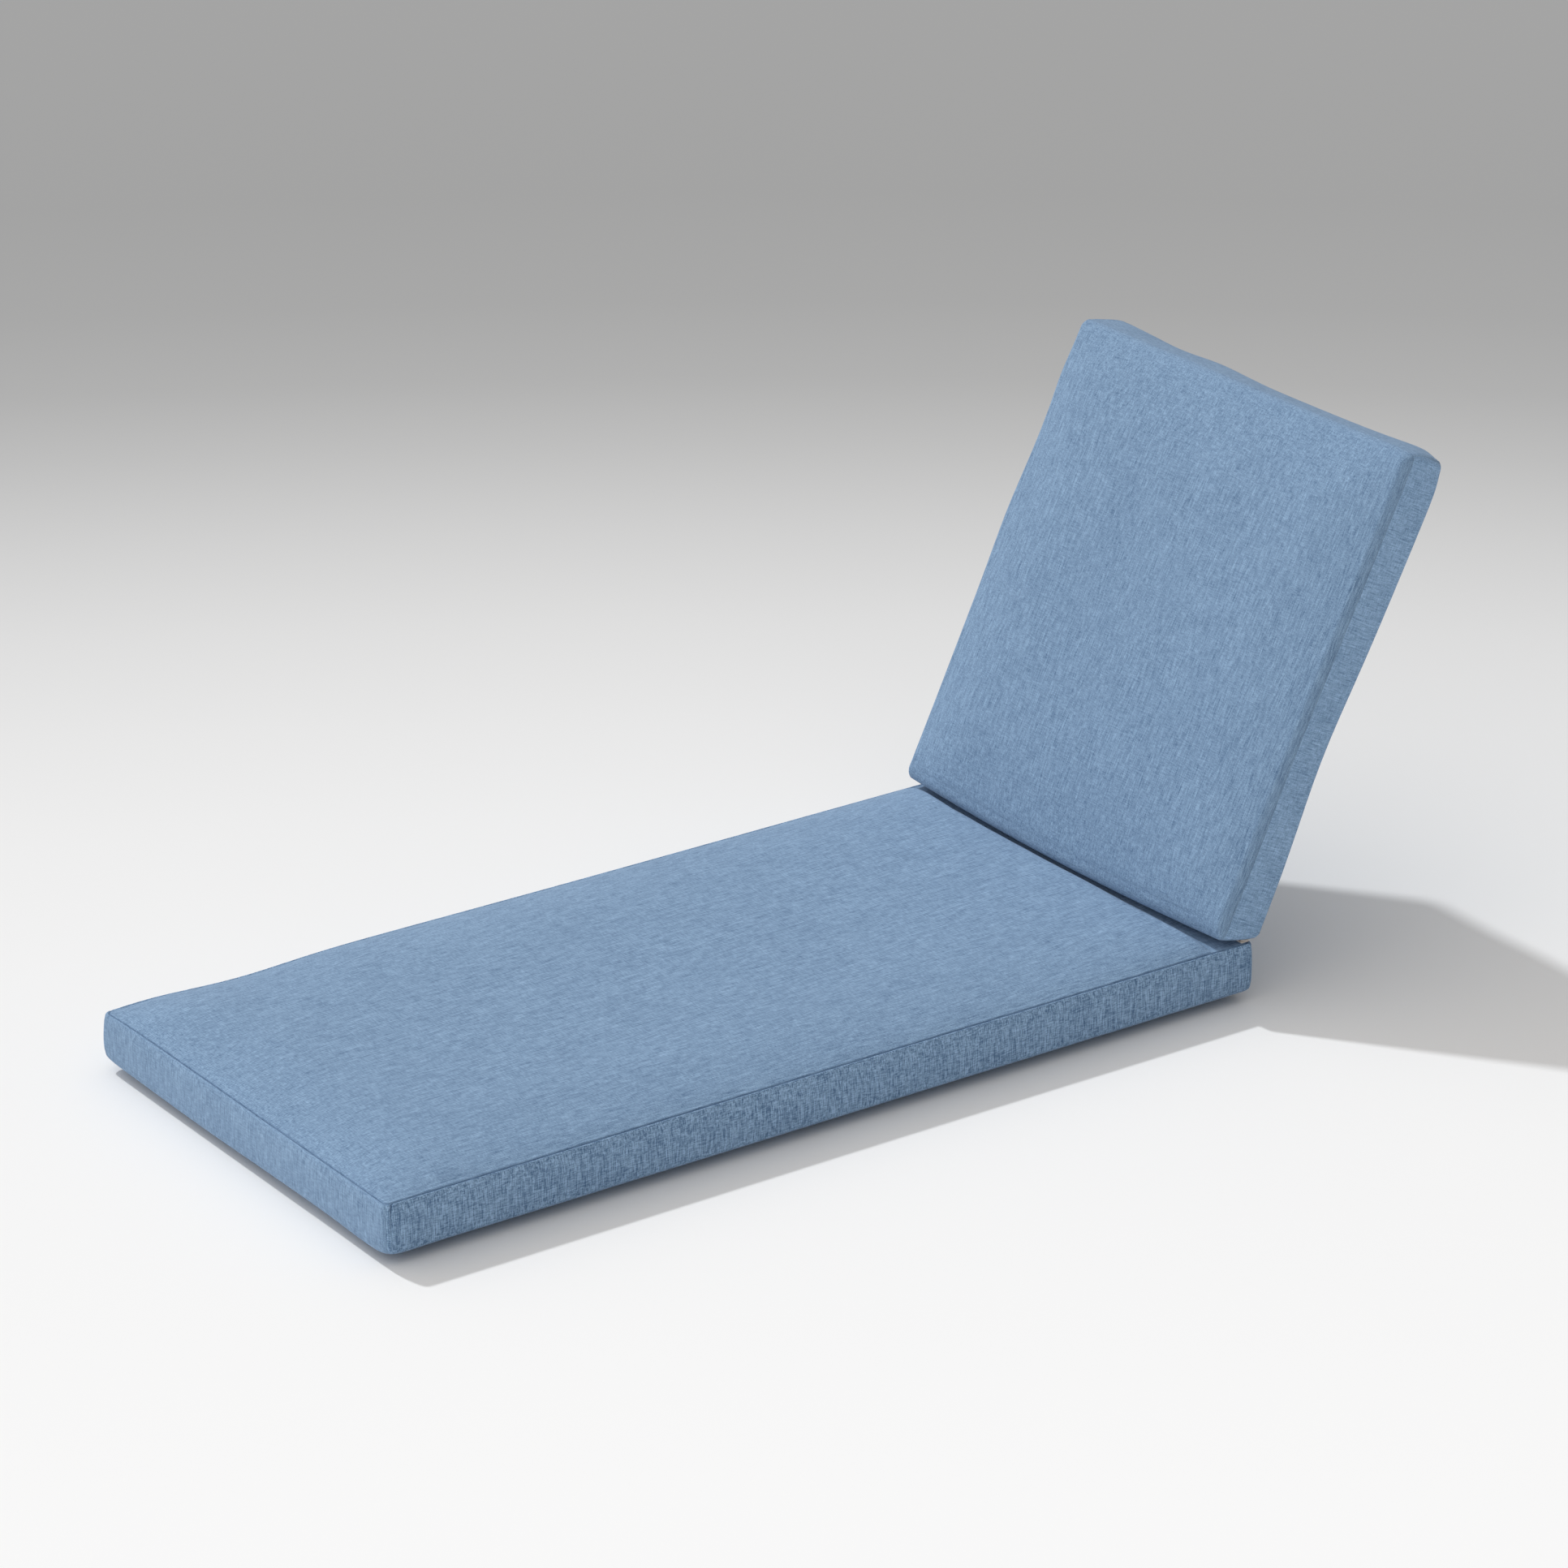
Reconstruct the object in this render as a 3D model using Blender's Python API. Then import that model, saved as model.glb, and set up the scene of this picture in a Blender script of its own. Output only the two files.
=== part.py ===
"""Sun lounger cushion: a long boxed seat pad, a shorter boxed back pad standing up at its head end,
and the folded tape that hinges the two. Metres, +Z up. The cushion lies along Y with its foot end
at -Y and the back pad at +Y, and rests on the flat middle of the seat pad's underside at z = 0.
"""

import math
from collections import namedtuple

import bpy
import bmesh
from mathutils import Vector

# Driving sizes of the two pads
WIDTH = 0.640
SEAT_LENGTH = 1.238
BACK_LENGTH = 0.622
SEAT_BAND = 0.0680
BACK_BAND = 0.0690
RECLINE = math.radians(63.9)

# The seat's band hangs this far above the floor, because only its stuffed underside touches it
SEAT_LIFT = 0.0105

# The stuffing domes each face, most of it within this run of the edge
SEAT_CROWN = 0.0150
SEAT_UNDER_CROWN = 0.0190
BACK_CROWN = 0.0150
BACK_UNDER_CROWN = 0.0120
DOME_RUN = 0.100
DOME_POWER = 2.2

# Where the back pad's lower rear edge stands, above the seat's upper rear edge
HINGE_Y = 1.2444
HINGE_Z = 0.0788
BACK_FOOT_SLANT = 0.0141
BACK_HEAD_SLANT = 0.0070
BACK_SLANT_REACH = 0.090

# The back pad's lower front edge bows out and down between its corners
BACK_FOOT_BOW = 0.0070

# Ledge of the seat's top under the back pad, where the hinge seam holds the stuffing down, and the
# short run in which the dome rises from it
HINGE_LEDGE = 0.051
HINGE_RUN = 0.035

# Roundness of the edges and corners
SEAT_SEAM_ROUND = 0.0045
SEAT_UNDER_ROUND = 0.0100
BACK_FACE_ROUND = 0.0090
BACK_REAR_ROUND = 0.0070
BACK_FOOT_ROLL = 0.0180
CORNER_ROUND = 0.0070
BAND_BULGE = 0.0010

# Folded tape that joins the pads: one leaf lies on the seat's ledge, the other under the back pad
TAPE_THICKNESS = 0.0010
TAPE_LEAF = 0.0130
TAPE_END_MARGIN = 0.0050
TAPE_FOLD_INSET = 0.0070
TAPE_FOLD_RADIUS = 0.00065
TAPE_OPENING = math.radians(10.5)
TAPE_FOLD_STEPS = 6
CLEARANCE = 0.0003

# Spacing of the mesh's lines
GRID = 0.050
ARC_STEPS = 3

# The foot end's place, which puts the origin under the middle of the whole cushion
FOOT_Y = -(HINGE_Y + BACK_LENGTH * math.cos(RECLINE)) / 2

# Where the cover pulls the stuffing out of true. Each row is one soft push of a pad: its centre
# (across, along and through the pad), how far it reaches each way, and how far it moves the middle
Push = namedtuple("Push", "x y z reach_x reach_y reach_z move_x move_y move_z")
SIDE = WIDTH / 2
SEAT_PUSHES = (
    Push(-SIDE, 0.62, SEAT_BAND, 0.08, 0.45, 0.04, 0.0030, 0.0, -0.0005),
    Push(SIDE, 0.62, SEAT_BAND, 0.08, 0.45, 0.04, -0.0025, 0.0, 0.0),
    Push(-SIDE, 0.18, SEAT_BAND, 0.12, 0.10, 0.05, 0.0030, 0.0, -0.0045),
    Push(-SIDE, 0.00, SEAT_BAND, 0.05, 0.05, 0.03, 0.0030, 0.0, -0.0020),
    Push(-0.10, 0.00, 0.0, 0.15, 0.05, 0.03, 0.0, 0.0, -0.0025),
    Push(0.27, 0.00, 0.0, 0.06, 0.05, 0.03, 0.0, 0.0, -0.0020),
)
BACK_PUSHES = (
    Push(SIDE, 0.24, 0.0, 0.10, 0.12, 0.05, -0.0020, 0.0, 0.0085),
    Push(-SIDE, 0.24, 0.0, 0.10, 0.12, 0.05, 0.0020, 0.0, 0.0085),
    Push(SIDE, 0.42, 0.0, 0.10, 0.10, 0.05, 0.0, 0.0, 0.0020),
    Push(-SIDE, 0.54, BACK_BAND, 0.08, 0.04, 0.05, -0.0030, 0.0, 0.0),
    Push(-SIDE, 0.35, BACK_BAND, 0.08, 0.07, 0.05, -0.0040, 0.0, 0.0),
    Push(-0.26, BACK_LENGTH, 0.0, 0.06, 0.06, 0.05, 0.0, 0.0050, 0.0),
    Push(-0.11, BACK_LENGTH, 0.0, 0.07, 0.06, 0.05, 0.0, 0.0045, 0.0),
    Push(SIDE, BACK_LENGTH, 0.0, 0.10, 0.06, 0.05, 0.0, 0.0045, 0.0),
)

FABRIC_BLUE = (0.206, 0.323, 0.497, 1.0)
TAPE_BEIGE = (0.50, 0.41, 0.35, 1.0)


def fabric(name, colour, roughness):
    material = bpy.data.materials.new(name)
    material.use_nodes = True
    shader = material.node_tree.nodes["Principled BSDF"]
    shader.inputs["Base Color"].default_value = colour
    shader.inputs["Roughness"].default_value = roughness
    shader.inputs["Metallic"].default_value = 0.0
    material.diffuse_color = colour
    return material


def made(name, mesh):
    """Turns a finished bmesh into a named object in the scene."""
    data = bpy.data.meshes.new(name)
    mesh.to_mesh(data)
    mesh.free()
    made_object = bpy.data.objects.new(name, data)
    bpy.context.collection.objects.link(made_object)
    return made_object


def spread(start, end, step):
    """Evenly spaced values from start to end, with both ends, no further apart than step."""
    count = max(1, math.ceil((end - start) / step - 1e-6))
    return [start + (end - start) * i / count for i in range(count + 1)]


def lines_across(low, high, corner):
    """Where mesh lines cross a side: close together round its two corners, and wide apart between."""
    near = [corner * (1 - math.tan(math.pi / 4 * k / ARC_STEPS)) for k in range(1, ARC_STEPS)]
    ends = [low + d for d in near] + [high - d for d in near]
    return sorted(ends + spread(low + corner, high - corner, GRID))


def band_rows(band, under_round, face_round):
    """The band in section from its underside up: (height, inset) of each row of points."""
    turns = [math.pi / 2 * k / ARC_STEPS for k in range(ARC_STEPS + 1)]
    under = [(under_round * (1 - math.cos(t)), under_round * (1 - math.sin(t))) for t in turns]
    face = [(band - face_round * (1 - math.sin(t)), face_round * (1 - math.cos(t))) for t in turns]
    middle = spread(under[-1][0], face[0][0], 0.020)[1:-1]
    between = [(z, -BAND_BULGE * math.sin(math.pi * z / band)) for z in middle]
    return under + between + face


def rounded(x, y, half_x, half_y, corner):
    """Moves a point of a rectangle onto the same rectangle with rounded corners."""
    inner_x = max(-half_x + corner, min(half_x - corner, x))
    inner_y = max(-half_y + corner, min(half_y - corner, y))
    out_x, out_y = x - inner_x, y - inner_y
    far = max(abs(out_x), abs(out_y))
    if min(abs(out_x), abs(out_y)) < 1e-9:
        return x, y
    scale = far / math.hypot(out_x, out_y)
    return inner_x + out_x * scale, inner_y + out_y * scale


def dome(x, y, half_x, half_y, ledge=0.0):
    """How far the stuffing has risen at a point of a face, from 0 at its edge to 1."""
    end_run = HINGE_RUN if ledge and y > 0 else DOME_RUN
    end = half_y - abs(y) - (ledge if y > 0 else 0)
    rise = 1.0
    for away, run in ((half_x - abs(x), DOME_RUN), (end, end_run)):
        part = max(0.0, min(1.0, away / run))
        rise *= 1 - (1 - part) ** DOME_POWER
    return rise


def rolled(from_foot, height, band, roll):
    """Rounds the edge between the foot side and the front face off to a wider roll."""
    out_y, out_z = roll - from_foot, height - (band - roll)
    if min(out_y, out_z) <= 0:
        return from_foot, height
    scale = roll / max(roll, math.hypot(out_y, out_z))
    return roll - out_y * scale, band - roll + out_z * scale


def box_pad(name, length, band, rounds, crowns, ledge=0.0, roll=0.0):
    """A stuffed boxed pad lying on its back: x across, y along from 0, z through, band from z = 0."""
    under_round, face_round = rounds
    under_crown, face_crown = crowns
    half_x, half_y = WIDTH / 2, length / 2
    mesh = bmesh.new()
    bmesh.ops.create_cube(mesh, size=1)
    bmesh.ops.scale(mesh, vec=(WIDTH, length, band), verts=mesh.verts)
    bmesh.ops.translate(mesh, vec=(0, 0, band / 2), verts=mesh.verts)
    rows = band_rows(band, under_round, face_round)
    cuts = [(Vector((x, 0, 0)), Vector((1, 0, 0))) for x in lines_across(-half_x, half_x, CORNER_ROUND)]
    cuts += [(Vector((0, y, 0)), Vector((0, 1, 0))) for y in lines_across(-half_y, half_y, CORNER_ROUND)]
    cuts += [(Vector((0, 0, z)), Vector((0, 0, 1))) for z, inset in rows[1:-1]]
    extra = [half_y - ledge - HINGE_RUN * k / 3 for k in range(4)] if ledge else []
    extra += [roll - half_y, roll * 0.65 - half_y] if roll else []
    cuts += [(Vector((0, y, 0)), Vector((0, 1, 0))) for y in extra]
    for point, normal in cuts:
        parts = mesh.verts[:] + mesh.edges[:] + mesh.faces[:]
        bmesh.ops.bisect_plane(mesh, geom=parts, dist=1e-6, plane_co=point, plane_no=normal)
    for vert in mesh.verts:
        height, inset = min(rows, key=lambda row: abs(row[0] - vert.co.z))
        x = vert.co.x * (half_x - inset) / half_x
        y = vert.co.y * (half_y - inset) / half_y
        x, y = rounded(x, y, half_x - inset, half_y - inset, CORNER_ROUND)
        from_foot = y + half_y
        if roll:
            from_foot, height = rolled(from_foot, height, band, roll)
        if vert.co.z > band - 1e-6:
            height += face_crown * dome(x, y, half_x - inset, half_y - inset, ledge)
        elif vert.co.z < 1e-6:
            height -= under_crown * dome(x, y, half_x - inset, half_y - inset)
        vert.co = (x, from_foot, height)
    bmesh.ops.recalc_face_normals(mesh, faces=mesh.faces)
    pad = made(name, mesh)
    pad.data.shade_smooth()
    return pad


def pushed(point, pushes):
    """Moves a point of a pad by each push, fading with its distance from the push's centre."""
    move = Vector((0, 0, 0))
    for push in pushes:
        away = (
            ((point.x - push.x) / push.reach_x) ** 2
            + ((point.y - push.y) / push.reach_y) ** 2
            + ((point.z - push.z) / push.reach_z) ** 2
        )
        move += Vector((push.move_x, push.move_y, push.move_z)) * math.exp(-away)
    return point + move


def seat_pad():
    pad = box_pad(
        "seat_pad",
        SEAT_LENGTH,
        SEAT_BAND,
        (SEAT_UNDER_ROUND, SEAT_SEAM_ROUND),
        (SEAT_UNDER_CROWN, SEAT_CROWN),
        HINGE_LEDGE,
    )
    for vert in pad.data.vertices:
        vert.co = pushed(vert.co, SEAT_PUSHES)
        vert.co.z = max(0.0, vert.co.z + SEAT_LIFT)
    pad.location = (0, FOOT_Y, 0)
    return pad


def back_pad():
    pad = box_pad(
        "back_pad",
        BACK_LENGTH,
        BACK_BAND,
        (BACK_REAR_ROUND, BACK_FACE_ROUND),
        (BACK_UNDER_CROWN, BACK_CROWN),
        roll=BACK_FOOT_ROLL,
    )
    for vert in pad.data.vertices:
        vert.co = pushed(vert.co, BACK_PUSHES)
        forward = vert.co.z / BACK_BAND
        from_foot = max(0.0, 1 - vert.co.y / BACK_SLANT_REACH)
        from_head = max(0.0, 1 - (BACK_LENGTH - vert.co.y) / BACK_SLANT_REACH)
        bow = BACK_FOOT_BOW * from_foot * forward**2 * (1 - (2 * vert.co.x / WIDTH) ** 2)
        vert.co.y -= forward * (BACK_FOOT_SLANT * from_foot + BACK_HEAD_SLANT * from_head) + bow
        vert.co.z += bow
    pad.location = (0, FOOT_Y + HINGE_Y, HINGE_Z)
    pad.rotation_euler = (RECLINE, 0, 0)
    return pad


def hinge_strip():
    """The tape in section, foot side to the left: a leaf, a tight half turn and a leaf that opens."""
    fold_y = FOOT_Y + SEAT_LENGTH - TAPE_FOLD_INSET
    fold_z = SEAT_LIFT + SEAT_BAND + CLEARANCE + TAPE_THICKNESS / 2 + TAPE_FOLD_RADIUS
    sweep = math.pi - TAPE_OPENING
    turns = [-math.pi / 2 + sweep * k / TAPE_FOLD_STEPS for k in range(TAPE_FOLD_STEPS + 1)]
    outward = [Vector((0, math.cos(t), math.sin(t))) for t in turns]
    lower_leaf = Vector((0, -TAPE_LEAF, 0))
    upper_leaf = Vector((0, -math.cos(TAPE_OPENING), math.sin(TAPE_OPENING))) * TAPE_LEAF
    no_leaf = Vector((0, 0, 0))
    path = [(outward[0], lower_leaf)] + [(way, no_leaf) for way in outward] + [(outward[-1], upper_leaf)]
    mesh = bmesh.new()
    corner = Vector((TAPE_END_MARGIN - SIDE, fold_y, fold_z))
    pairs = []
    for way, leaf in path:
        radii = [TAPE_FOLD_RADIUS + face * TAPE_THICKNESS / 2 for face in (-1, 1)]
        pairs.append([mesh.verts.new(corner + way * radius + leaf) for radius in radii])
    section = [mesh.faces.new((a[0], a[1], b[1], b[0])) for a, b in zip(pairs, pairs[1:])]
    swept = bmesh.ops.extrude_face_region(mesh, geom=section)["geom"]
    moved = [part for part in swept if isinstance(part, bmesh.types.BMVert)]
    bmesh.ops.translate(mesh, vec=(WIDTH - 2 * TAPE_END_MARGIN, 0, 0), verts=moved)
    bmesh.ops.recalc_face_normals(mesh, faces=mesh.faces)
    return made("hinge_strip", mesh)


def main():
    for old in list(bpy.data.objects):
        bpy.data.objects.remove(old)
    blue = fabric("blue_canvas", FABRIC_BLUE, 0.9)
    for pad in (seat_pad(), back_pad()):
        pad.data.materials.append(blue)
    hinge_strip().data.materials.append(fabric("pale_tape", TAPE_BEIGE, 0.9))


main()
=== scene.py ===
# %% [markdown]
# Sun lounger cushion
#
# This is the cushion of a sun lounger: a long boxed seat pad, a shorter boxed back pad that
# stands up at its head end, and a folded tape that hinges the two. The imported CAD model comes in
# first as a fixed frame, and every piece made here takes its place from it.

# %% Load the frame
import math

import bmesh
import bpy
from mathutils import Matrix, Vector, noise


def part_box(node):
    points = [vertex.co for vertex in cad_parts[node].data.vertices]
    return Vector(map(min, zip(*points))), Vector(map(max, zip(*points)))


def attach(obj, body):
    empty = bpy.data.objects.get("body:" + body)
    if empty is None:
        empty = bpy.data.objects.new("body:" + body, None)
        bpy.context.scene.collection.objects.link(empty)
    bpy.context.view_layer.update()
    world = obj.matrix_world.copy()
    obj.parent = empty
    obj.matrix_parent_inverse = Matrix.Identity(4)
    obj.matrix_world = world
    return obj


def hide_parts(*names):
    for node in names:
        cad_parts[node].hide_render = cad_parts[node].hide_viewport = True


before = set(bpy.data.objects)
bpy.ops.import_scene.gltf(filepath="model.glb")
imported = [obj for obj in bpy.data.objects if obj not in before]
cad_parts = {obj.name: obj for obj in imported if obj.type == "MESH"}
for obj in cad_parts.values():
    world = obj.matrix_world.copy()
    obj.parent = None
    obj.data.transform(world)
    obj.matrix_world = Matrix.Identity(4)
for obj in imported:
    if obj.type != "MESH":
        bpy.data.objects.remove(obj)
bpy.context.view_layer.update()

scene = bpy.context.scene
print("nodes:", sorted(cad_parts))

# %% [markdown]
# Camera
#
# A product camera stands well back and uses a long lens, so that the far end of a two metre
# object doesn't shrink. The direction is given by a turn round the object and a height above the
# floor, which are easy to read and easy to change, and the camera looks along it at one point.

# %% Camera
CAMERA_TURN = math.radians(54.7461)
CAMERA_RISE = math.radians(22.587)
CAMERA_AIM = Vector((-0.3222, 0.2332, 0.1263))
CAMERA_DISTANCE = 7.544
CAMERA_LENS = 136.56

toward_camera = Vector((
    math.sin(CAMERA_TURN) * math.cos(CAMERA_RISE),
    -math.cos(CAMERA_TURN) * math.cos(CAMERA_RISE),
    math.sin(CAMERA_RISE),
))
camera = bpy.data.objects.new("camera", bpy.data.cameras.new("camera"))
scene.collection.objects.link(camera)
camera.data.lens = CAMERA_LENS
camera.data.sensor_width = 36
camera.data.clip_end = 200
camera.location = CAMERA_AIM + toward_camera * CAMERA_DISTANCE
camera.rotation_euler = toward_camera.to_track_quat("Z", "Y").to_euler()
scene.camera = camera
print("camera at", tuple(round(c, 3) for c in camera.location))

# %% [markdown]
# Sizes
#
# These are the sizes that the CAD source was cut from. Repeating them here lets the fine mesh of
# the cover fall exactly on the solid that it replaces, so the looks and the collision agree.

# %% Sizes of the pads
WIDTH = 0.640
SEAT_LENGTH = 1.238
BACK_LENGTH = 0.622
SEAT_BAND = 0.0680
BACK_BAND = 0.0690
RECLINE = math.radians(63.9)
SEAT_LIFT = 0.0105
HINGE_Y = 1.2444
HINGE_Z = 0.0788
FOOT_Y = -(HINGE_Y + BACK_LENGTH * math.cos(RECLINE)) / 2
HALF = WIDTH / 2

seat_low, seat_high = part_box("seat_pad")
print("seat pad in the frame:", tuple(seat_low), tuple(seat_high))

# %% [markdown]
# Where the mesh lines run
#
# A boxed pad is a top panel and an underside joined by a band. The mesh is laid out like the
# sewing pattern: its lines run along and across the panels, and they crowd together beside each
# seam, where the cloth dips sharply, and spread out over the soft middle. A remesh or an even
# subdivision would spend the same number of faces on the smooth crown as on the seams.

# %% Lines of the mesh
# The second cluster of lines, round 9 mm, is where the corner seams of the band stand
BESIDE_SEAM = (
    0.0, 0.0006, 0.0013, 0.0022, 0.0035, 0.0052, 0.0070, 0.0083,
    0.0090, 0.0097, 0.0108, 0.0130, 0.0160, 0.0200, 0.0250,
)
OPEN_STEP = 0.0085
FINE_STEP = 0.0022
# How far the fine lines run on past both ends of the shoulder at the hinge
FINE_BEFORE = 0.010
FINE_AFTER = 0.006


def spread(start, end, step):
    """Even values from start to end, no further apart than step."""
    count = max(1, math.ceil((end - start) / step - 1e-6))
    return [start + (end - start) * i / count for i in range(count + 1)]


def stations(length, fine=()):
    """Where mesh lines cross a side of that length, from its middle. fine is a run with close lines."""
    close = [length / 2 - d for d in BESIDE_SEAM]
    marks = [-close[-1], *fine, close[-1]]
    inner = marks[:1]
    for start, end, step in zip(marks, marks[1:], (OPEN_STEP, FINE_STEP, OPEN_STEP)):
        inner += spread(start, end, step)[1:]
    return [-c for c in close[:-1]] + inner + close[-2::-1]


print("lines across:", len(stations(WIDTH)), "and along the seat:", len(stations(SEAT_LENGTH)))

# %% [markdown]
# The band in section
#
# Seen from its end, the band climbs round a soft lower edge, bellies out a little, and turns
# over into the top panel. Each row of the band keeps its height, how far it is drawn in, and its
# run: the distance over the cloth from the lower edge, by which the seams find it later.

# %% Rows of the band
BAND_BULGE = 0.0010
# Roundness of each pad's lower and upper edge
SEAT_ROUNDS = (0.0110, 0.0045)
BACK_ROUNDS = (0.0070, 0.0130)
ARC_STEPS = 8
BAND_STEP = 0.007


def band_rows(band, under_round, face_round):
    """(height, inset, run) for each row of the band, from the underside up."""
    turns = [math.pi / 2 * k / ARC_STEPS for k in range(ARC_STEPS + 1)]
    under = [(under_round * (1 - math.cos(t)), under_round * (1 - math.sin(t))) for t in turns]
    face = [(band - face_round * (1 - math.sin(t)), face_round * (1 - math.cos(t))) for t in turns]
    middle = spread(under[-1][0], face[0][0], BAND_STEP)[1:-1]
    belly = [(z, -BAND_BULGE * math.sin(math.pi * z / band)) for z in middle]
    rows, run = [], 0.0
    for height, inset in under + belly + face:
        if rows:
            run += math.hypot(height - rows[-1][0], inset - rows[-1][1])
        rows.append((height, inset, run))
    return rows


print("rows of the seat's band:", len(band_rows(SEAT_BAND, *SEAT_ROUNDS)))

# %% [markdown]
# The pad before it is stuffed
#
# One function builds either pad lying on its back. Its points are first named by their place on
# a box, and each is then moved to where it belongs: drawn in by its row, rounded at the corners,
# and lifted by the stuffing's dome on the two panels. Every point also remembers how far it is
# from the nearest seam, in a layer called seam, because the simulation pins the cloth there and
# the sewing presses it in.

# %% Corners and domes
CORNER_ROUND = 0.0090
DOME_RUN = 0.100
DOME_POWER = 2.2
# The dome starts from a ledge under the back pad. It rises from it in a short run, fuller at its
# sides than elsewhere, and the ledge is deepest a little to the right of the middle
HINGE_LEDGE = 0.0625
HINGE_RUN = 0.014
HINGE_POWER = 3.0
HINGE_SIDE_RUN = 0.045
HINGE_SIDE_REACH = 0.250
HINGE_BOW = 0.0100
HINGE_BOW_AT = 0.070
HINGE_BOW_REACH = 0.30
# The back pad's front face turns down to its foot side over this far along and this deep
BACK_FOOT_ROLL = (0.024, 0.013)


def rounded(x, y, half_x, half_y, corner):
    """Moves a point of a rectangle onto the same rectangle with rounded corners."""
    inner_x = max(-half_x + corner, min(half_x - corner, x))
    inner_y = max(-half_y + corner, min(half_y - corner, y))
    out_x, out_y = x - inner_x, y - inner_y
    if min(abs(out_x), abs(out_y)) < 1e-9:
        return x, y
    scale = max(abs(out_x), abs(out_y)) / math.hypot(out_x, out_y)
    return inner_x + out_x * scale, inner_y + out_y * scale


def dome(x, y, half_x, half_y, ledge):
    """How far the stuffing has risen at a point of a panel, from 0 at its edge to 1."""
    end, end_run, end_power, side_run = half_y - abs(y), DOME_RUN, DOME_POWER, DOME_RUN
    if ledge and y > 0:
        side_run -= (DOME_RUN - HINGE_SIDE_RUN) * max(0.0, 1 - end / HINGE_SIDE_REACH)
        end -= ledge - HINGE_BOW * ((x - HINGE_BOW_AT) / HINGE_BOW_REACH) ** 2
        end_run, end_power = HINGE_RUN, HINGE_POWER
    rise = 1.0
    for away, run, power in ((half_x - abs(x), side_run, DOME_POWER), (end, end_run, end_power)):
        part = max(0.0, min(1.0, away / run))
        rise *= 1 - (1 - part) ** power
    return rise


def rolled(from_foot, height, band, roll):
    """Rounds the edge between the foot side and the front face off to part of an ellipse."""
    along, deep = roll
    out_y, out_z = along - from_foot, height - (band - deep)
    if min(out_y, out_z) <= 0:
        return from_foot, height
    scale = 1 / max(1.0, math.hypot(out_y / along, out_z / deep))
    return along - out_y * scale, band - deep + out_z * scale


# %% Faces of a box whose sides are cut by the mesh lines
PANEL, END_BAND, SIDE_BAND = 0, 1, 2


def box_faces(count_x, count_y, count_z):
    """Quads over the six sides of a box, as grid places (i, j, k), with the part that each is on."""
    for i in range(count_x):
        for j in range(count_y):
            for k in (0, count_z):
                yield [(i, j, k), (i + 1, j, k), (i + 1, j + 1, k), (i, j + 1, k)], PANEL
    for k in range(count_z):
        for i in range(count_x):
            for j in (0, count_y):
                yield [(i, j, k), (i + 1, j, k), (i + 1, j, k + 1), (i, j, k + 1)], END_BAND
        for j in range(count_y):
            for i in (0, count_x):
                yield [(i, j, k), (i, j + 1, k), (i, j + 1, k + 1), (i, j, k + 1)], SIDE_BAND


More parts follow.
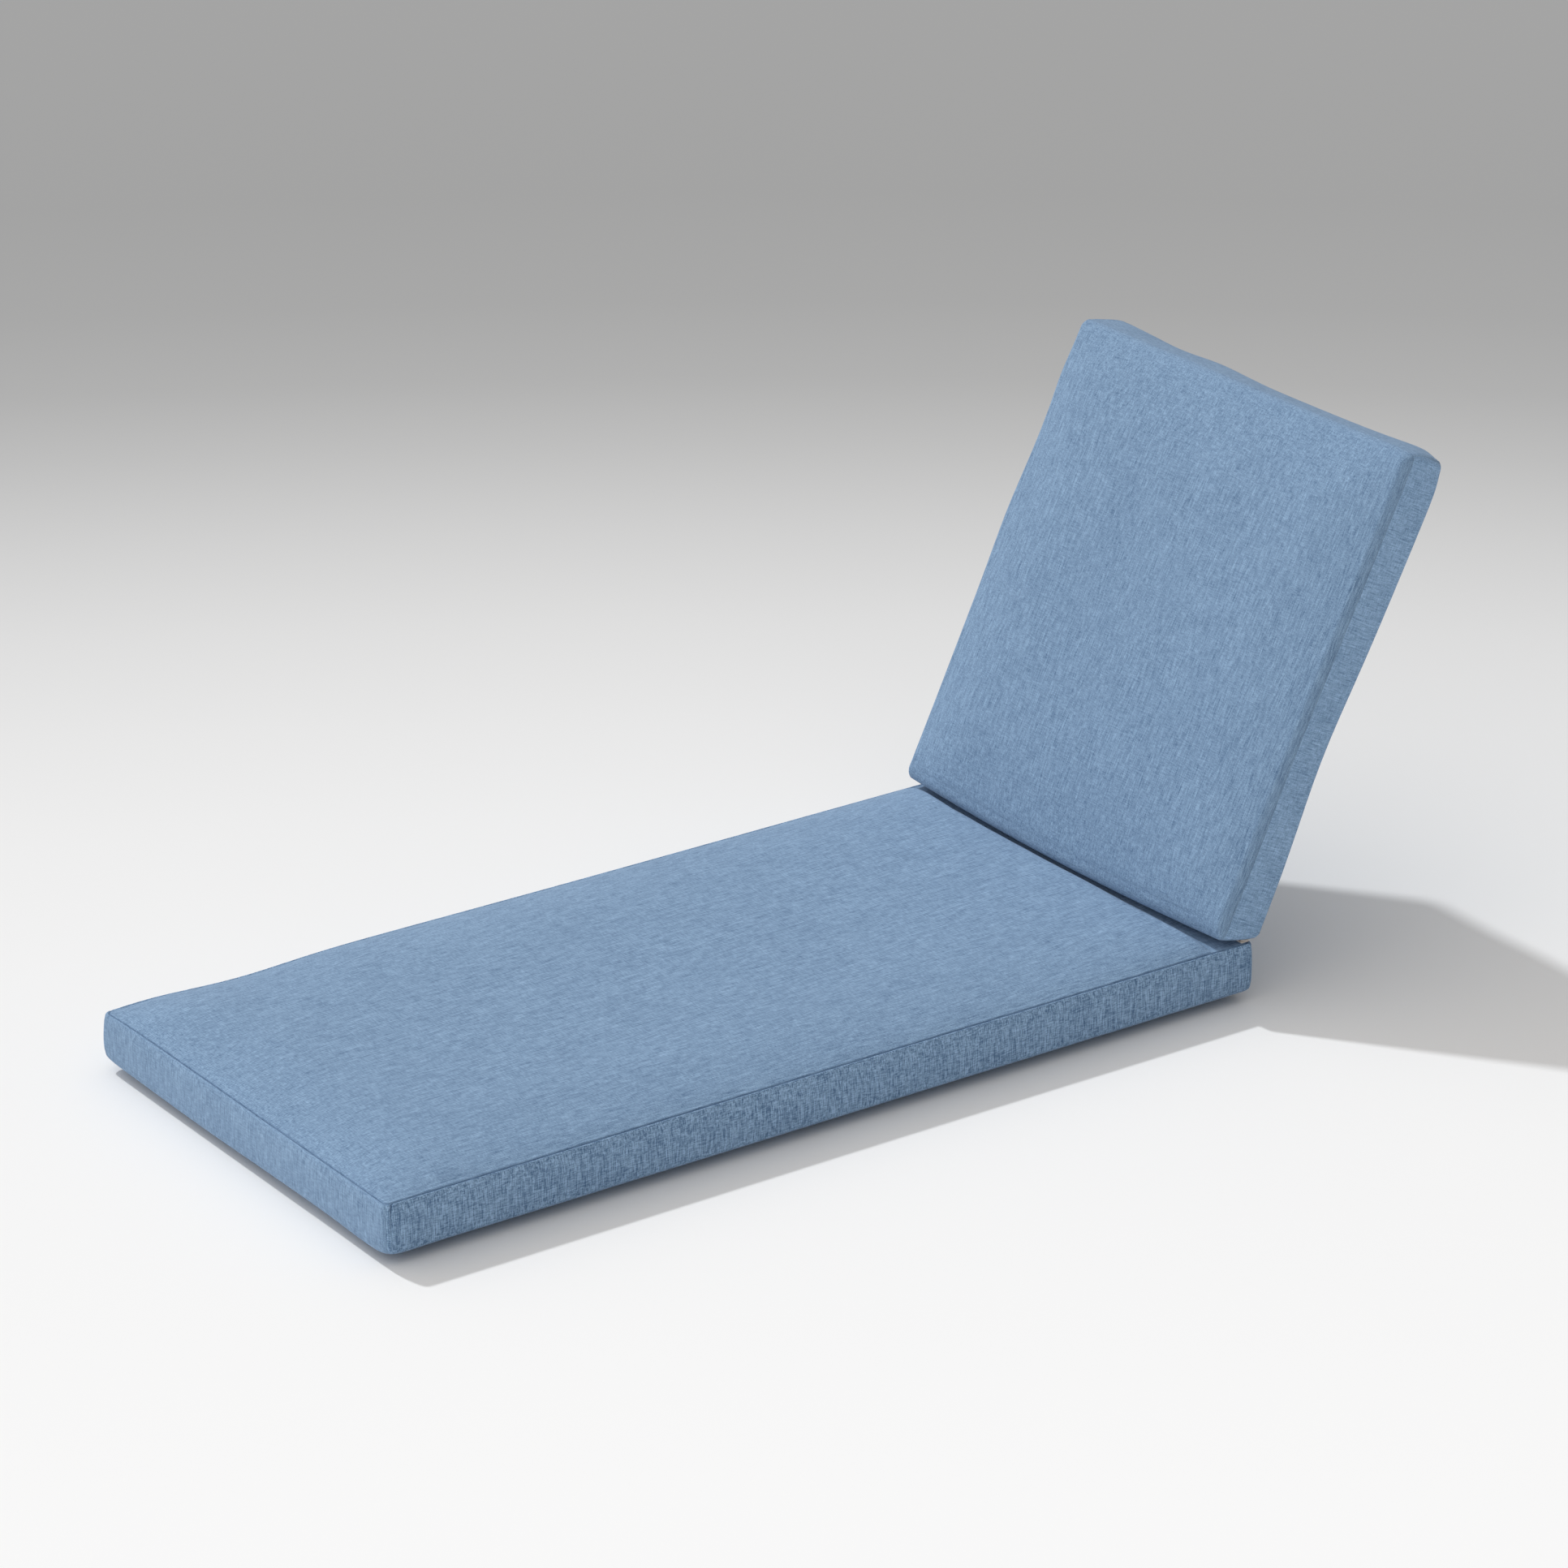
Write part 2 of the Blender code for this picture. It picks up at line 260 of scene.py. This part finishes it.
# %% A boxed pad
class Pad:
    """What one pad is cut to: its length, band, edge roundings, crowns and seams.

    wraps says that the top panel turns over the band's upper edge, and ledge and roll shape the end
    at the hinge. ease is how soft the seams are: down the corners at the underside and at the top,
    and along the band's upper edge.
    """

    def __init__(self, name, length, band, rounds, crowns, wraps, ease, ledge=0.0, roll=None):
        self.name, self.length, self.band = name, length, band
        self.rows = band_rows(band, *rounds)
        self.crowns, self.ease, self.ledge, self.roll = crowns, ease, ledge, roll
        self.low_seam = 0.0
        self.high_seam = self.rows[-1 - (ARC_STEPS if wraps else 0)][2]

    def place(self, i, j, k, xs, ys):
        """(point, distance to the nearest seam) for the grid place i, j, k."""
        height, inset, run = self.rows[k]
        half_x, half_y = HALF - inset, self.length / 2 - inset
        x, y = xs[i] * half_x / HALF, ys[j] * half_y / (self.length / 2)
        edge = min(half_x - abs(x), half_y - abs(y))
        top, bottom = k == len(self.rows) - 1, k == 0
        run += edge if top else -edge if bottom else 0.0
        seam = min(abs(run - self.low_seam), math.hypot(run - self.high_seam, self.ease[2]))
        if self.low_seam < run < self.high_seam:
            # The foot end's seams stand on the side bands, the head end's on the end band
            corner = half_y - abs(y) - (half_x - abs(x)) - math.copysign(CORNER_ROUND, -y)
            ease = self.ease[0] + (self.ease[1] - self.ease[0]) * height / self.band
            seam = min(seam, math.hypot(corner, ease))
        x, y = rounded(x, y, half_x, half_y, CORNER_ROUND)
        from_foot = y + self.length / 2
        if self.roll:
            from_foot, height = rolled(from_foot, height, self.band, self.roll)
        if top:
            height += self.crowns[1] * dome(x, y, half_x, half_y, self.ledge)
        if bottom:
            height -= self.crowns[0] * dome(x, y, half_x, half_y, 0.0)
        return Vector((x, from_foot, height)), seam

    def build(self, settle):
        """The pad as an object. settle moves each point to the pad's own lean and sag."""
        shoulder = self.length / 2 - self.ledge
        fine = (shoulder - HINGE_RUN - FINE_BEFORE, shoulder + HINGE_BOW + FINE_AFTER) if self.ledge else ()
        xs, ys = stations(WIDTH), stations(self.length, fine)
        mesh = bmesh.new()
        seam_layer = mesh.verts.layers.float.new("seam")
        known = {}
        for corners, part in box_faces(len(xs) - 1, len(ys) - 1, len(self.rows) - 1):
            for key in corners:
                if key not in known:
                    point, seam = self.place(*key, xs, ys)
                    known[key] = mesh.verts.new(settle(point))
                    known[key][seam_layer] = seam
            face = mesh.faces.new([known[key] for key in corners])
            face.material_index = part if self.on_band(corners) else PANEL
            face.smooth = True
        bmesh.ops.recalc_face_normals(mesh, faces=mesh.faces)
        data = bpy.data.meshes.new(self.name)
        mesh.to_mesh(data)
        mesh.free()
        pad = bpy.data.objects.new(self.name, data)
        scene.collection.objects.link(pad)
        print(self.name, "has", len(data.polygons), "faces")
        return pad

    def on_band(self, corners):
        """Whether a face of the box's side belongs to the band, and not to a wrapped panel."""
        runs = [self.rows[k][2] for i, j, k in corners]
        return self.low_seam - 1e-6 <= min(runs) and max(runs) <= self.high_seam + 1e-6


# %% [markdown]
# Where the cover pulls out of true
#
# No stuffed pad is straight. The outline of this one dips and swells along its sides, and the
# back pad leans and bows at its foot. The same soft pushes as in the CAD source are applied, so
# the outline stays with the solid.

# %% Pushes, lean and bow
SEAT_PUSHES = (
    (-HALF, 0.62, SEAT_BAND, 0.08, 0.45, 0.04, 0.0030, 0.0, -0.0005),
    (HALF, 0.62, SEAT_BAND, 0.08, 0.45, 0.04, -0.0025, 0.0, 0.0),
    (-HALF, 0.18, SEAT_BAND, 0.12, 0.10, 0.05, 0.0030, 0.0, -0.0045),
    (-HALF, 0.00, SEAT_BAND, 0.05, 0.05, 0.03, 0.0030, 0.0, -0.0020),
    (-0.10, 0.00, 0.0, 0.15, 0.05, 0.03, 0.0, 0.0, -0.0025),
    (0.27, 0.00, 0.0, 0.06, 0.05, 0.03, 0.0, 0.0, -0.0020),
)
BACK_PUSHES = (
    (HALF, 0.24, 0.0, 0.10, 0.12, 0.05, -0.0020, 0.0, 0.0085),
    (-HALF, 0.24, 0.0, 0.10, 0.12, 0.05, 0.0020, 0.0, 0.0085),
    (HALF, 0.42, 0.0, 0.10, 0.10, 0.05, 0.0, 0.0, 0.0020),
    (-HALF, 0.54, BACK_BAND, 0.08, 0.04, 0.05, -0.0030, 0.0, 0.0),
    (-HALF, 0.35, BACK_BAND, 0.08, 0.07, 0.05, -0.0040, 0.0, 0.0),
    (-0.26, BACK_LENGTH, 0.0, 0.06, 0.06, 0.05, 0.0, 0.0050, 0.0),
    (-0.11, BACK_LENGTH, 0.0, 0.07, 0.06, 0.05, 0.0, 0.0045, 0.0),
    (HALF, BACK_LENGTH, 0.0, 0.10, 0.06, 0.05, 0.0, 0.0045, 0.0),
)
# Sewn corners are blunt, because three pieces of cloth meet there with all their seam allowances
SEAT_CORNERS = (
    (HALF, 0.00, 0.0, 0.018, 0.018, 0.016, -0.0015, 0.0020, 0.0025),
    (-HALF, 0.00, 0.0, 0.018, 0.018, 0.016, 0.0010, 0.0010, 0.0015),
)
BACK_CORNERS = (
    (HALF, BACK_LENGTH, 0.0, 0.030, 0.030, 0.030, -0.0040, -0.0085, 0.0020),
    (-HALF, BACK_LENGTH, 0.0, 0.045, 0.040, 0.035, 0.0, 0.0055, 0.0),
    (HALF, BACK_LENGTH, BACK_BAND, 0.020, 0.020, 0.025, -0.0020, -0.0030, 0.0),
)
# The foot side's lean and bow are at their full as high as this, where its roll begins
BACK_ROLL_HEIGHT = 0.056
BACK_FOOT_SLANT = 0.0141
BACK_HEAD_SLANT = 0.0070
BACK_SLANT_REACH = 0.090
BACK_FOOT_BOW = 0.0070


def pushed(point, pushes):
    """Each push moves the cloth most at its own middle and fades out with distance."""
    move = Vector((0, 0, 0))
    for x, y, z, reach_x, reach_y, reach_z, *way in pushes:
        away = ((point.x - x) / reach_x) ** 2 + ((point.y - y) / reach_y) ** 2
        away += ((point.z - z) / reach_z) ** 2
        move += Vector(way) * math.exp(-away)
    return point + move


def settle_seat(point):
    """The seat lies on the floor, which flattens whatever would go through it."""
    point = pushed(point, SEAT_PUSHES + SEAT_CORNERS)
    point.z = max(0.0, point.z + SEAT_LIFT)
    return point


def settle_back(point):
    """The back pad's ends lean, and its lower front edge bows over the seat."""
    point = pushed(point, BACK_PUSHES + BACK_CORNERS)
    forward = point.z / BACK_BAND
    at_roll = max(0.0, min(1.0, point.z / BACK_ROLL_HEIGHT))
    from_foot = max(0.0, 1 - point.y / BACK_SLANT_REACH)
    from_head = max(0.0, 1 - (BACK_LENGTH - point.y) / BACK_SLANT_REACH)
    bow = BACK_FOOT_BOW * from_foot * at_roll**2 * (1 - (point.x / HALF) ** 2)
    point.y -= at_roll * BACK_FOOT_SLANT * from_foot + forward * BACK_HEAD_SLANT * from_head + bow
    point.z += bow
    return point


# %% Both pads in place
# The free crowns start a little low, because the simulation swells them
SWELL = 0.0025
seat_cut = Pad(
    "seat_cushion", SEAT_LENGTH, SEAT_BAND, SEAT_ROUNDS, (0.0190, 0.0150 - SWELL),
    False, (0.0014, 0.0003, 0.0), ledge=HINGE_LEDGE,
)
back_cut = Pad(
    "back_cushion", BACK_LENGTH, BACK_BAND, BACK_ROUNDS, (0.0120 - SWELL, 0.0150 - SWELL),
    True, (0.0006, 0.0014, 0.0014), roll=BACK_FOOT_ROLL,
)
seat = seat_cut.build(settle_seat)
back = back_cut.build(settle_back)
seat.location = (0, FOOT_Y, 0)
back.location = (0, FOOT_Y + HINGE_Y, HINGE_Z)
back.rotation_euler = (RECLINE, 0, 0)

# %% [markdown]
# Stuffing
#
# The filling pushes the cover out and the seams hold it back. Blender's Cloth does the same with
# a little pressure inside a closed mesh whose seams are pinned. Gravity is left out, since the
# foam carries the cover, and no point may move more than a few millimetres, which keeps the pad
# on its solid. The result is written back to the mesh, so no modifier stays.

# %% Simulate the stuffing
SWELL_CAP = 0.0045
PRESSURE = 4.0
PIN_WITHIN = 0.010
PIN_FADE = 0.050
FRAMES = 20


def stuff(pad, keep_flat):
    """Swells a pad by Cloth pressure, pinned along its seams and where it rests."""
    seams = [value.value for value in pad.data.attributes["seam"].data]
    rest = [vert.co.copy() for vert in pad.data.vertices]
    pins = pad.vertex_groups.new(name="pins")
    for index, seam in enumerate(seams):
        weight = 1 - max(0.0, min(1.0, (seam - PIN_WITHIN) / PIN_FADE))
        if keep_flat(rest[index]):
            weight = 1.0
        pins.add([index], weight, "REPLACE")
    cloth = pad.modifiers.new("stuffing", "CLOTH")
    cloth.settings.use_pressure = True
    cloth.settings.uniform_pressure_force = PRESSURE
    cloth.settings.vertex_group_mass = "pins"
    cloth.settings.effector_weights.gravity = 0
    cloth.settings.mass = 0.05
    cloth.settings.quality = 4
    cloth.collision_settings.use_collision = False
    cloth.point_cache.frame_start = 1
    cloth.point_cache.frame_end = FRAMES
    for step in range(1, FRAMES + 1):
        scene.frame_set(step)
    graph = bpy.context.evaluated_depsgraph_get()
    swollen = [vert.co.copy() for vert in pad.evaluated_get(graph).data.vertices]
    pad.modifiers.remove(cloth)
    pad.vertex_groups.remove(pins)
    furthest = 0.0
    for vert, start, end in zip(pad.data.vertices, rest, swollen):
        move = end - start
        furthest = max(furthest, move.length)
        vert.co = start + move * (SWELL_CAP * math.tanh(move.length / SWELL_CAP) / max(move.length, 1e-9))
    scene.frame_set(1)
    print(pad.name, "was pushed up to", round(furthest * 1000, 2), "mm before the cap")


stuff(seat, lambda point: point.z < 1e-5)
stuff(back, lambda point: False)

# %% [markdown]
# Seams
#
# The panels and the band are joined by plain seams: the cloth dives into a narrow groove, stands
# up in a small roll on both sides of it, and is gathered a little by the thread. The seam layer
# says how far each point is from the stitching, so all three are one move along the surface's
# normal.

# %% Sew the seams
SEAM_DEPTH = 0.0022
SEAM_WIDTH = 0.0008
DIP_REACH = 0.0120
ROLL_HEIGHT = 0.0004
ROLL_AT = 0.0026
ROLL_WIDTH = 0.0014
PUCKER_HEIGHT = 0.00018
PUCKER_REACH = 0.012
PUCKER_SPACING = 0.011
SAG_HEIGHT = 0.0006
SAG_SPACING = 0.11


def sew(pad, seed, dip):
    """Presses the seams in and lets the cloth between them ripple. dip is how deep they are drawn."""
    seams = [value.value for value in pad.data.attributes["seam"].data]
    normals = [vert.normal.copy() for vert in pad.data.vertices]
    for vert, seam, normal in zip(pad.data.vertices, seams, normals):
        groove = -SEAM_DEPTH * math.exp(-((seam / SEAM_WIDTH) ** 2))
        groove -= dip * math.exp(-((seam / DIP_REACH) ** 2))
        roll = ROLL_HEIGHT * math.exp(-(((seam - ROLL_AT) / ROLL_WIDTH) ** 2))
        pucker = noise.noise(vert.co / PUCKER_SPACING + Vector((seed, 0, 0)))
        pucker *= PUCKER_HEIGHT * math.exp(-seam / PUCKER_REACH)
        sag = noise.noise(vert.co / SAG_SPACING + Vector((0, seed, 0)))
        sag *= SAG_HEIGHT * min(1.0, seam / 0.03)
        vert.co += normal * (groove + roll + pucker + sag)
    print(pad.name, "is sewn:", sum(seam < 1e-5 for seam in seams), "points lie on its seams")


sew(seat, 3.7, 0.0014)
sew(back, 9.2, 0.0002)
for vert in seat.data.vertices:
    vert.co.z = max(0.0, vert.co.z)
seat.data.update()
back.data.update()

# %% [markdown]
# Shader maths
#
# A weave is a sum of several noises, which is easier to read as Python than as dozens of nodes.
# Wire holds one socket, and each sign between wires adds one Math node. Finish holds one
# material and adds any other node by its type, its settings and what goes into its sockets.

# %% Wires and finishes
class Wire:
    """One output socket that sums can be written with."""

    def __init__(self, finish, socket):
        self.finish, self.socket = finish, socket

    def sum(self, operation, first, second):
        return self.finish.node("ShaderNodeMath", {"operation": operation}, {0: first, 1: second})

    def __add__(self, other):
        return self.sum("ADD", self, other)

    __radd__ = __add__

    def __sub__(self, other):
        return self.sum("SUBTRACT", self, other)

    def __rsub__(self, other):
        return self.sum("SUBTRACT", other, self)

    def __mul__(self, other):
        return self.sum("MULTIPLY", self, other)

    __rmul__ = __mul__


class Finish:
    """A material, or the world, whose nodes are added one call at a time."""

    def __init__(self, name, kind="materials", shader="Principled BSDF"):
        self.material = getattr(bpy.data, kind).new(name)
        self.material.use_nodes = True
        self.tree = self.material.node_tree
        self.shader = self.tree.nodes[shader]

    def feed(self, node, inputs):
        for name, value in inputs.items():
            if isinstance(value, Wire):
                self.tree.links.new(value.socket, node.inputs[name])
            else:
                node.inputs[name].default_value = value

    def node(self, kind, settings=None, inputs=None, output=0):
        """Adds a node and returns a wire from one of its outputs."""
        node = self.tree.nodes.new(kind)
        for name, value in (settings or {}).items():
            if name == "stops":
                for stop, (position, colour) in zip(node.color_ramp.elements, value):
                    stop.position, stop.color = position, colour
                for position, colour in value[2:]:
                    node.color_ramp.elements.new(position).color = colour
            else:
                setattr(node, name, value)
        self.feed(node, inputs or {})
        return Wire(self, node.outputs[output])


# %% [markdown]
# Canvas
#
# The cover is a heathered outdoor canvas: light and dark blue yarns spun together, so the cloth
# shows fine streaks along its warp and its weft, and never one flat blue. A streak is noise
# squeezed hard across a yarn and stretched along it. It is three-dimensional and read at the
# pad's own coordinates, so it follows the crown without any unwrapping. The panels were cut with
# the warp along the pad and the bands with the warp across their height.

# %% Canvas on the panels and on the bands
DARK_YARN = (0.070, 0.138, 0.248, 1)
LIGHT_YARN = (0.302, 0.446, 0.627, 1)
# Painted shade: beside the stitching the canvas colour is multiplied by this colour, fading out over
# SHADE_REACH
SEAM_SHADE = (0.50, 0.55, 0.62, 1)
SHADE_REACH = 0.0011


def canvas(name, warp, weft, speck, light=1.0):
    """Heathered canvas. warp and weft are the axes, 0, 1 or 2, that the yarns run along.

    speck is how much the yarns differ, and light scales their colours. A light above 1 is painted light that
    brightens a whole face, and a high speck is painted grazing light on the weave's grain. The cloth is
    painted darker right beside the stitching: painted shade where the seam's fold keeps the light out.
    """
    finish = Finish(name)
    place = finish.node("ShaderNodeTexCoord", output="Object")

    def yarn(across, along, axis, detail=1.0):
        stretch = [1 / across] * 3
        stretch[axis] = 1 / along
        spot = finish.node("ShaderNodeVectorMath", {"operation": "MULTIPLY"}, {0: place, 1: stretch})
        inputs = {"Vector": spot, "Scale": 1.0, "Detail": detail, "Roughness": 0.6}
        return finish.node("ShaderNodeTexNoise", {}, inputs)

    slub = yarn(0.0022, 0.0260, warp, 2.0)
    thread = yarn(0.0010, 0.0160, warp)
    cross = yarn(0.0010, 0.0090, weft)
    fleck = yarn(0.0014, 0.0020, warp)
    fade = yarn(0.050, 0.120, warp, 2.0)
    mix = 0.5 + (slub - 0.5) * (0.70 * speck) + (thread - 0.5) * (1.35 * speck)
    mix = mix + (cross - 0.5) * (1.1 * speck) + (fleck - 0.5) * (0.5 * speck) + (fade - 0.5) * 0.18
    heather = finish.node(
        "ShaderNodeMix",
        {"data_type": "RGBA", "clamp_factor": True},
        {
            0: mix,
            6: [c * light for c in DARK_YARN[:3]] + [1],
            7: [c * light for c in LIGHT_YARN[:3]] + [1],
        },
        output=2,
    )
    seam = finish.node("ShaderNodeAttribute", {"attribute_name": "seam"}, output="Fac")
    colour = finish.node(
        "ShaderNodeMix",
        {"data_type": "RGBA", "blend_type": "MULTIPLY", "clamp_factor": True},
        {0: 1 - seam * (1 / SHADE_REACH), 6: heather, 7: SEAM_SHADE},
        output=2,
    )
    relief = thread * 0.7 + cross * 0.6 + fleck * 0.4 + slub * 0.3
    bump = finish.node(
        "ShaderNodeBump", {}, {"Strength": 0.5, "Distance": 0.0006, "Height": relief}
    )
    finish.feed(finish.shader, {
        "Base Color": colour,
        "Normal": bump,
        "Roughness": 0.88 + (thread - 0.5) * 0.2,
        "Sheen Weight": 0.18,
        "Sheen Roughness": 0.5,
        "Sheen Tint": (0.75, 0.85, 1.0, 1),
        "Specular IOR Level": 0.25,
    })
    return finish.material


panel_canvas = canvas("panel_canvas", 1, 0, 0.85)
end_canvas = canvas("end_band_canvas", 2, 0, 0.80)
# Painted light: both side bands wear lighter copies of the canvas, and the seat's side band also has a
# stronger yarn contrast as painted grazing light
seat_side_painted_light_canvas = canvas("seat_side_painted_light_canvas", 2, 1, 1.60, 1.14)
back_side_painted_light_canvas = canvas("back_side_painted_light_canvas", 2, 1, 0.85, 1.36)
for pad, painted_light_side_canvas in ((seat, seat_side_painted_light_canvas), (back, back_side_painted_light_canvas)):
    for cloth in (panel_canvas, end_canvas, painted_light_side_canvas):
        pad.data.materials.append(cloth)
print("canvas nodes:", len(panel_canvas.node_tree.nodes))

# %% [markdown]
# Hinge tape
#
# A folded strip of pale webbing joins the pads: one leaf lies on the seat's flat ledge, and the
# other opens under the back pad. It is modelled as the fold it is, from a section drawn once and
# swept across the width, with a little waver in its edges.

# %% Fold the tape
TAPE_THICKNESS = 0.0010
TAPE_LEAF = 0.0105
TAPE_END_MARGIN = 0.0050
TAPE_FOLD_INSET = 0.0070
TAPE_FOLD_RADIUS = 0.00065
TAPE_OPENING = math.radians(10.5)
CLEARANCE = 0.0003
TAPE_STEP = 0.006


def tape_section():
    """Points of the folded tape's middle line with its normal: lower leaf, fold, upper leaf."""
    sweep = math.pi - TAPE_OPENING
    turns = [-math.pi / 2 + sweep * k / 10 for k in range(11)]
    fold = [(Vector((0, math.cos(t), math.sin(t))), 0.0) for t in turns]
    leaf = [TAPE_LEAF * (1 - k / 6) for k in range(6)]
    lower = [(fold[0][0], d) for d in leaf]
    upper = [(fold[-1][0], d) for d in reversed(leaf)]
    ways = [Vector((0, -1, 0))] * 6 + [Vector()] * 11
    ways += [Vector((0, -math.cos(TAPE_OPENING), math.sin(TAPE_OPENING)))] * 6
    return [(out, way * d) for (out, d), way in zip(lower + fold + upper, ways)]


def fold_tape():
    """Sweeps the section across the cushion as a closed band of webbing."""
    fold_y = FOOT_Y + SEAT_LENGTH - TAPE_FOLD_INSET
    fold_z = SEAT_LIFT + SEAT_BAND + CLEARANCE + TAPE_THICKNESS / 2 + TAPE_FOLD_RADIUS
    section = tape_section()
    mesh = bmesh.new()
    rings = []
    for x in spread(TAPE_END_MARGIN - HALF, HALF - TAPE_END_MARGIN, TAPE_STEP):
        middle = Vector((x, fold_y, fold_z))
        waver = 1 + 0.02 * noise.noise(Vector((x * 25, 4.1, 0)))
        faces = [
            [middle + out * (TAPE_FOLD_RADIUS + side * TAPE_THICKNESS / 2) + leaf * waver
             for out, leaf in section]
            for side in (-1, 1)
        ]
        rings.append([mesh.verts.new(point) for point in faces[0] + faces[1][::-1]])
    for one, two in zip(rings, rings[1:]):
        for k in range(len(one)):
            mesh.faces.new((one[k], one[k - 1], two[k - 1], two[k]))
    count = len(section)
    for ring in (rings[0], rings[-1]):
        for k in range(count - 1):
            mesh.faces.new((ring[k], ring[k + 1], ring[-2 - k], ring[-1 - k]))
    bmesh.ops.recalc_face_normals(mesh, faces=mesh.faces)
    for face in mesh.faces:
        face.smooth = True
    data = bpy.data.meshes.new("hinge_tape")
    mesh.to_mesh(data)
    mesh.free()
    made = bpy.data.objects.new("hinge_tape", data)
    scene.collection.objects.link(made)
    return made


tape = fold_tape()
print("tape faces:", len(tape.data.polygons))

# %% Webbing
def webbing():
    """Pale ribbed webbing, with its ribs along the tape."""
    finish = Finish("pale_webbing")
    place = finish.node("ShaderNodeTexCoord", output="Object")
    spot = finish.node(
        "ShaderNodeVectorMath", {"operation": "MULTIPLY"}, {0: place, 1: (250.0, 900.0, 900.0)}
    )
    rib = finish.node("ShaderNodeTexNoise", {}, {"Vector": spot, "Scale": 1.0, "Detail": 1.0})
    colour = finish.node(
        "ShaderNodeMix",
        {"data_type": "RGBA"},
        {0: rib, 6: (0.56, 0.50, 0.45, 1), 7: (0.80, 0.74, 0.69, 1)},
        output=2,
    )
    bump = finish.node("ShaderNodeBump", {}, {"Strength": 0.6, "Distance": 0.0003, "Height": rib})
    finish.feed(finish.shader, {"Base Color": colour, "Normal": bump, "Roughness": 0.9})
    return finish.material


tape.data.materials.append(webbing())

# %% [markdown]
# Floor and light
#
# The cushion lies on a pale studio floor whose colour carries painted light: a painted pool of light,
# brightest on the camera's side of the cushion and fading to grey with distance, in place of a lamp's
# falloff. One lamp high on the left gives the shadow its edge, a broad weak one lights only the cushion's
# front, and the surroundings light everything else softly. The surroundings are a touch warm and the lamp a
# touch cool, because the blue cloth throws some blue light back into its own shadow.

# %% Floor
# Painted light: the floor's colour falls from near white to grey with distance from this point, as a lamp's
# falloff would
PAINTED_POOL_CENTRE = Vector((4.62, -3.21))
PAINTED_FALLOFF_REACH = 12.0
PAINTED_FALLOFF_STOPS = (
    (4.4, 0.940), (5.3, 0.912), (5.8, 0.889), (6.2, 0.855), (6.55, 0.805), (6.92, 0.735), (7.3, 0.635),
    (7.7, 0.515), (8.0, 0.438), (8.4, 0.391), (9.0, 0.367), (10.2, 0.372),
)


def studio_floor():
    finish = Finish("studio_floor")
    place = finish.node("ShaderNodeTexCoord", output="Object")
    away = finish.node(
        "ShaderNodeVectorMath", {"operation": "DISTANCE"}, {0: place, 1: (PAINTED_POOL_CENTRE.x, PAINTED_POOL_CENTRE.y, 0)}, output="Value"
    )
    stops = [(d / PAINTED_FALLOFF_REACH, (painted_tone, painted_tone, painted_tone, 1)) for d, painted_tone in PAINTED_FALLOFF_STOPS]
    painted_tone = finish.node("ShaderNodeValToRGB", {"stops": stops}, {0: away * (1 / PAINTED_FALLOFF_REACH)})
    finish.feed(finish.shader, {"Base Color": painted_tone, "Roughness": 0.95, "Specular IOR Level": 0.0})
    mesh = bmesh.new()
    bmesh.ops.create_grid(mesh, x_segments=8, y_segments=8, size=30)
    data = bpy.data.meshes.new("studio_floor")
    mesh.to_mesh(data)
    mesh.free()
    data.materials.append(finish.material)
    floor = bpy.data.objects.new("studio_floor", data)
    scene.collection.objects.link(floor)
    return floor


studio_floor()

# %% Lights
TOWARD_SUN = Vector((-0.835, -0.149, 1.0)).normalized()
SKY_COLOUR = (1.02, 1.00, 0.98, 1)
TOWARD_SKY = (-0.30, -0.60, 0.74)
SKY_LEVEL = 0.37
SKY_RISE = 0.55
SUN = 1.48
SUN_COLOUR = (0.97, 1.0, 1.03)
FILL = 24.0


def lamp(name, kind, energy, toward, distance=1.0, **settings):
    """A light that stands off in a direction and shines back at the cushion."""
    data = bpy.data.lights.new(name, kind)
    data.energy = energy
    for key, value in settings.items():
        setattr(data, key, value)
    made = bpy.data.objects.new(name, data)
    made.location = Vector((0, 0, 0.2)) + toward * distance
    made.rotation_euler = toward.to_track_quat("Z", "Y").to_euler()
    scene.collection.objects.link(made)
    return made


lamp("key", "SUN", SUN, TOWARD_SUN, 5.0, color=SUN_COLOUR, angle=math.radians(2.6))
fill = lamp("foot_fill", "AREA", FILL, Vector((0.0, -0.9, 0.42)).normalized(), 4.5, size=3.0)
lit = bpy.data.collections.new("lit_by_the_fill")
for piece in (seat, back, tape):
    lit.objects.link(piece)
fill.light_linking.receiver_collection = lit

# The surroundings are brightest overhead and on the side of the foot end
world = Finish("studio", "worlds", "Background")
way = world.node("ShaderNodeTexCoord", output="Generated")
rise = world.node("ShaderNodeVectorMath", {"operation": "DOT_PRODUCT"}, {0: way, 1: TOWARD_SKY}, "Value")
world.feed(world.shader, {"Color": SKY_COLOUR, "Strength": SKY_LEVEL + rise * SKY_RISE})
scene.world = world.material
scene.view_settings.view_transform = "Standard"

# %% [markdown]
# Hand over to the frame
#
# Each piece rides on the cushion's only body, and the CAD solid that it stands for is hidden.

# %% Bodies and hidden solids
for piece, node, finish_slot in (
    (seat, "seat_pad", "blue_canvas"),
    (back, "back_pad", "blue_canvas"),
    (tape, "hinge_strip", "pale_tape"),
):
    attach(piece, "root")
    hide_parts(node)
